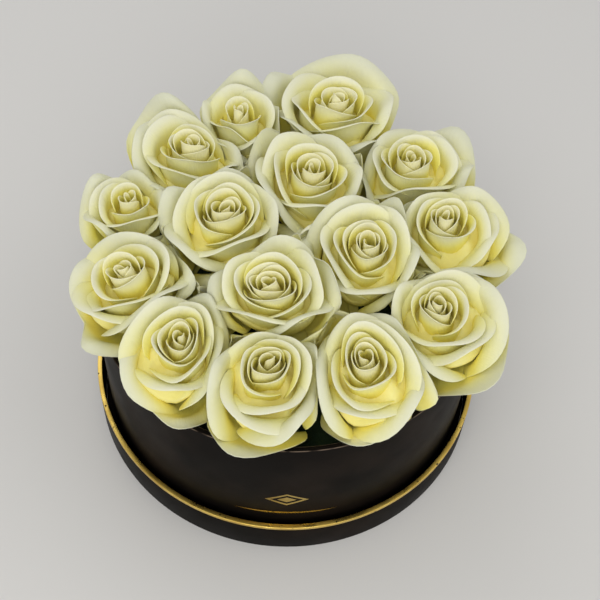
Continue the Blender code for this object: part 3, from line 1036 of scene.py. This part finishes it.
class ROSEBOX_OT_roses(bpy.types.Operator):
    """Add the rose heads, petal by petal"""
    bl_idname = "rose_box.roses"
    bl_label = "Roses"

    def execute(self, context):
        blank = petal_blank()
        shade = petal_finish()
        for number in range(len(ROSES)):
            add_bloom(number, blank, shade)
        bpy.data.objects.remove(blank, do_unlink=True)
        return {"FINISHED"}


def dress(name, shade):
    """Give a solid that stays a better material."""
    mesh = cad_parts[name].data
    mesh.materials.clear()
    mesh.materials.append(shade)


class ROSEBOX_OT_filling(bpy.types.Operator):
    """Finish the wet foam and its liner cup"""
    bl_idname = "rose_box.filling"
    bl_label = "Foam and liner"

    def execute(self, context):
        dress("foam", foam_finish())
        dress("liner", liner_finish())
        return {"FINISHED"}


def add_stalk_stem(rose):
    """The stem and the hip, from a sphere whose rings take the places of the outline."""
    foot = (STALK_FOOT - rose_frame(rose).translation.z) / rose_axis(rose).z
    outline = HIP_RINGS + (
        (STALK_RADIUS, STALK_NECK), (STALK_RADIUS, foot + STALK_CHAMFER),
        (STALK_RADIUS - STALK_CHAMFER, foot), (0.0, foot))
    last = len(outline) - 1
    bpy.ops.mesh.primitive_uv_sphere_add(segments=STALK_SIDES, ring_count=last, radius=1.0)
    stem = bpy.context.object
    for vertex in stem.data.vertices:
        place = round(math.acos(max(-1.0, min(1.0, vertex.co.z))) * last / math.pi)
        radius, height = outline[place]
        turn = math.atan2(vertex.co.y, vertex.co.x)
        vertex.co = (radius * math.cos(turn), radius * math.sin(turn), height)
    return stem


def add_sepal(turn):
    """A pointed green sepal that leaves the hip and hooks down."""
    bpy.ops.mesh.primitive_grid_add(x_subdivisions=SEPAL_ALONG, y_subdivisions=SEPAL_ACROSS, size=1.0)
    sepal = bpy.context.object
    for vertex in sepal.data.vertices:
        along = vertex.co.x + 0.5
        side = 2.0 * vertex.co.y
        width = 0.5 * SEPAL_WIDTH * (1.0 - along ** SEPAL_POWER)
        width = width * grown(SEPAL_BELLY, math.sin(math.pi * along))
        droop = SEPAL_BEND * math.radians(mix(*SEPAL_DROOP, along))
        reach = SEPAL_ROOT + SEPAL_LENGTH * along * math.cos(droop)
        hang = SEPAL_DEPTH + SEPAL_LENGTH * along * math.sin(droop)
        height = SEPAL_HOLLOW * side ** 2 * (1.0 - along) - hang
        vertex.co = (*turned(reach, width * side, turn), height)
    thickness = sepal.modifiers.new("thickness", "SOLIDIFY")
    thickness.thickness = SEPAL_THICKNESS
    thickness.offset = 0.0
    apply_all(sepal)
    return sepal


def add_stalk(number, shade):
    """One stalk: stem, hip and five sepals under the bloom."""
    rose = ROSES[number]
    pieces = [add_stalk_stem(rose)]
    for index in range(SEPALS):
        pieces.append(add_sepal(math.radians(rose["turn"] + 360.0 * (index + 0.5) / SEPALS)))
    stalk = join_pieces(pieces)
    stalk.data.transform(Matrix.Scale(MM, 4) @ rose_frame(rose))
    bpy.ops.object.shade_smooth()
    name = f"rose_{number + 1:02d}"
    finish_piece(stalk, f"{name}_stalk", shade, "rose_green", f"{name}_stem")


class ROSEBOX_OT_stalks(bpy.types.Operator):
    """Add the green stalks with their hips and sepals"""
    bl_idname = "rose_box.stalks"
    bl_label = "Stalks"

    def execute(self, context):
        green = green_finish()
        for number in range(len(ROSES)):
            add_stalk(number, green)
        return {"FINISHED"}


def round_wall(outline):
    """A ring turned from a closed outline of radius and height in millimetres."""
    looks = settings().box
    bpy.ops.mesh.primitive_circle_add(vertices=len(outline), radius=1.0, fill_type="NOTHING")
    ring = bpy.context.object
    for vertex, (radius, height) in zip(ring.data.vertices, outline):
        vertex.co = (radius * MM, 0.0, height * MM)
    bpy.ops.object.mode_set(mode="EDIT")
    bpy.ops.mesh.select_all(action="SELECT")
    bpy.ops.mesh.spin(steps=looks.sides, angle=math.tau, center=(0, 0, 0), axis=(0, 0, 1))
    bpy.ops.mesh.select_all(action="SELECT")
    bpy.ops.mesh.remove_doubles(threshold=MERGE)
    bpy.ops.mesh.normals_make_consistent(inside=False)
    bpy.ops.object.mode_set(mode="OBJECT")
    bevel = ring.modifiers.new("paper edge", "BEVEL")
    bevel.width = looks.edge
    bevel.segments = EDGE_STEPS
    bevel.limit_method = "ANGLE"
    bevel.angle_limit = math.radians(EDGE_ANGLE)
    apply_all(ring)
    bpy.ops.object.shade_smooth_by_angle(angle=math.radians(SMOOTH_ANGLE))
    return ring


class ROSEBOX_OT_box(bpy.types.Operator):
    """Add the box's card wall"""
    bl_idname = "rose_box.box"
    bl_label = "Box"

    def execute(self, context):
        inner = BOX_RADIUS - BOX_WALL
        wall = round_wall((
            (inner, BOX_FOOT), (BOX_RADIUS, BOX_FOOT), (BOX_RADIUS, BOX_TOP), (inner, BOX_TOP)))
        card = card_finish("box card", BOX_TOP)
        finish_piece(wall, "box_card_wall", card, "black_card", "box_wall")
        dress("box_base", card_finish())
        return {"FINISHED"}


def wrap_on_box(sheet, x, z):
    """Lay a flat sheet, drawn in millimetres, on the front of the box's wall."""
    for vertex in sheet.data.vertices:
        turn = (x + vertex.co.x) / BOX_RADIUS
        radius = (BOX_RADIUS + FOIL_PROUD) * MM
        vertex.co = (radius * math.sin(turn), -radius * math.cos(turn), (z + vertex.co.y) * MM)


def add_lozenge(width, tall, band=None):
    """A flat lozenge, or a lozenge ring of a given band, cut fine enough to bend."""
    bpy.ops.mesh.primitive_circle_add(vertices=4, radius=1.0, fill_type="NGON")
    lozenge = bpy.context.object
    for vertex in lozenge.data.vertices:
        vertex.co = (vertex.co.x * width / 2.0, vertex.co.y * tall / 2.0, 0.0)
    bpy.ops.object.mode_set(mode="EDIT")
    bpy.ops.mesh.select_all(action="SELECT")
    if band is not None:
        bpy.ops.mesh.inset(thickness=band, depth=0.0)
        bpy.ops.mesh.delete(type="FACE")
        bpy.ops.mesh.select_all(action="SELECT")
    bpy.ops.mesh.quads_convert_to_tris()
    bpy.ops.mesh.subdivide(number_cuts=LOZENGE_CUTS)
    bpy.ops.object.mode_set(mode="OBJECT")
    return lozenge


def add_tapered_line():
    """A flat line that tapers to a point at both ends."""
    bpy.ops.mesh.primitive_grid_add(x_subdivisions=LINE_STEPS, y_subdivisions=1, size=1.0)
    line = bpy.context.object
    for vertex in line.data.vertices:
        taper = max(LINE_TIP, 1.0 - (2.0 * abs(vertex.co.x)) ** LINE_TAPER)
        vertex.co = (vertex.co.x * LINE_LENGTH, vertex.co.y * LINE_THICKNESS * taper, 0.0)
    return line


class ROSEBOX_OT_ornament(bpy.types.Operator):
    """Add the small foil ornament on the front of the box"""
    bl_idname = "rose_box.ornament"
    bl_label = "Ornament"

    def execute(self, context):
        pieces = []
        for size, band in ((1.0, LOZENGE_BAND), (INNER_LOZENGE, None)):
            pieces.append(add_lozenge(size * LOZENGE_WIDTH, size * LOZENGE_TALL, band))
            wrap_on_box(pieces[-1], ORNAMENT_X, LOZENGE_HEIGHT)
        pieces.append(add_tapered_line())
        wrap_on_box(pieces[-1], ORNAMENT_X, LINE_HEIGHT)
        ornament = join_pieces(pieces)
        foil = foil_finish("dull foil print", wear=0.68, tone=0.6)
        finish_piece(ornament, "front_ornament", foil, "gold_foil")
        return {"FINISHED"}


class ROSEBOX_OT_lid(bpy.types.Operator):
    """Add the upturned lid's card wall and its gold foil edge"""
    bl_idname = "rose_box.lid"
    bl_label = "Lid"

    def execute(self, context):
        inner = LID_RADIUS - LID_WALL
        wall_top = LID_HIGH.z / MM
        ledge = FOIL_FOOT - FOIL_GAP
        shoulder = LID_RADIUS - (FOIL_THICKNESS + FOIL_GAP)
        wall = round_wall((
            (inner, LID_FOOT), (LID_RADIUS, LID_FOOT), (LID_RADIUS, ledge),
            (shoulder, ledge), (shoulder, wall_top), (inner, wall_top)))
        finish_piece(wall, "lid_card_wall", card_finish("lid card"), "black_card", "lid_wall")
        dress("lid_panel", card_finish("lid panel card"))
        under = FOIL_TOP - FOIL_THICKNESS
        behind = LID_RADIUS - FOIL_THICKNESS
        foil = round_wall((
            (inner, under), (behind, under), (behind, FOIL_FOOT),
            (LID_RADIUS, FOIL_FOOT), (LID_RADIUS, FOIL_TOP), (inner, FOIL_TOP)))
        finish_piece(foil, "lid_foil_edge", foil_finish(), "gold_foil", "lid_gold_edge")
        return {"FINISHED"}


def add_light(name, place, size, power, colour):
    data = bpy.data.lights.new(name, "AREA")
    data.shape = "DISK"
    data.size = size
    data.energy = power
    data.color = colour
    item = bpy.data.objects.new(name, data)
    bpy.context.collection.objects.link(item)
    item.location = place
    aim = -Vector(place) + Vector(LIGHTS_AIM)
    item.rotation_euler = aim.to_track_quat("-Z", "Y").to_euler()


def add_sky(strength):
    world = bpy.data.worlds.new("even light")
    world.use_nodes = True
    tree = world.node_tree
    set_sockets(tree, tree.nodes["Background"], {"Color": SKY_COLOUR, "Strength": strength})
    bpy.context.scene.world = world


def add_camera():
    """The camera, at the place from which the picture was taken."""
    data = bpy.data.cameras.new("camera")
    data.lens = CAMERA_LENS
    data.sensor_width = CAMERA_SENSOR
    data.clip_start = CAMERA_NEAR
    camera = bpy.data.objects.new("camera", data)
    bpy.context.collection.objects.link(camera)
    right = Vector(CAMERA_RIGHT)
    up = Vector(CAMERA_UP)
    turn = Matrix((right, up, right.cross(up))).transposed().to_4x4()
    camera.matrix_world = Matrix.Translation(CAMERA_PLACE) @ turn
    bpy.context.scene.camera = camera


class ROSEBOX_OT_stage(bpy.types.Operator):
    """Add the floor, the soft lights and the camera"""
    bl_idname = "rose_box.stage"
    bl_label = "Stage"

    def execute(self, context):
        looks = settings().stage
        bpy.ops.mesh.primitive_plane_add(size=FLOOR_SIZE, location=(0, 0, 0))
        floor = context.object
        floor.name = "floor"
        floor.data.materials.append(floor_finish())
        for name, place, size, colour in LIGHTS:
            add_light(f"{name} light", place, size, getattr(looks, name), colour)
        add_sky(looks.sky)
        add_camera()
        context.scene.view_settings.view_transform = "Standard"
        return {"FINISHED"}


class RoseBoxSettings(bpy.types.PropertyGroup):
    """All the sizes and colours, in their groups."""
    roses: PointerProperty(type=RoseSettings)
    box: PointerProperty(type=BoxSettings)
    stage: PointerProperty(type=StageSettings)


class ROSEBOX_PT_panel(bpy.types.Panel):
    """The rose box's pieces in the sidebar"""
    bl_label = "Rose box"
    bl_idname = "ROSEBOX_PT_panel"
    bl_space_type = "VIEW_3D"
    bl_region_type = "UI"
    bl_category = "Rose box"

    def draw(self, context):
        groups = context.scene.rose_box
        for group in (groups.roses, groups.box, groups.stage):
            for name in group.bl_rna.properties.keys():
                if name not in ("rna_type", "name"):
                    self.layout.prop(group, name)
        for operator in OPERATORS:
            self.layout.operator(operator.bl_idname)


OPERATORS = (
    ROSEBOX_OT_filling,
    ROSEBOX_OT_stalks,
    ROSEBOX_OT_box,
    ROSEBOX_OT_ornament,
    ROSEBOX_OT_lid,
    ROSEBOX_OT_roses,
    ROSEBOX_OT_stage,
)
CLASSES = (RoseSettings, BoxSettings, StageSettings, RoseBoxSettings, *OPERATORS, ROSEBOX_PT_panel)


def register():
    for item in CLASSES:
        bpy.utils.register_class(item)
    bpy.types.Scene.rose_box = PointerProperty(type=RoseBoxSettings)


def unregister():
    del bpy.types.Scene.rose_box
    for item in reversed(CLASSES):
        bpy.utils.unregister_class(item)


def main():
    register()
    bpy.ops.rose_box.filling()
    bpy.ops.rose_box.stalks()
    bpy.ops.rose_box.box()
    bpy.ops.rose_box.ornament()
    bpy.ops.rose_box.lid()
    bpy.ops.rose_box.roses()
    bpy.ops.rose_box.stage()


if __name__ == "__main__":
    main()
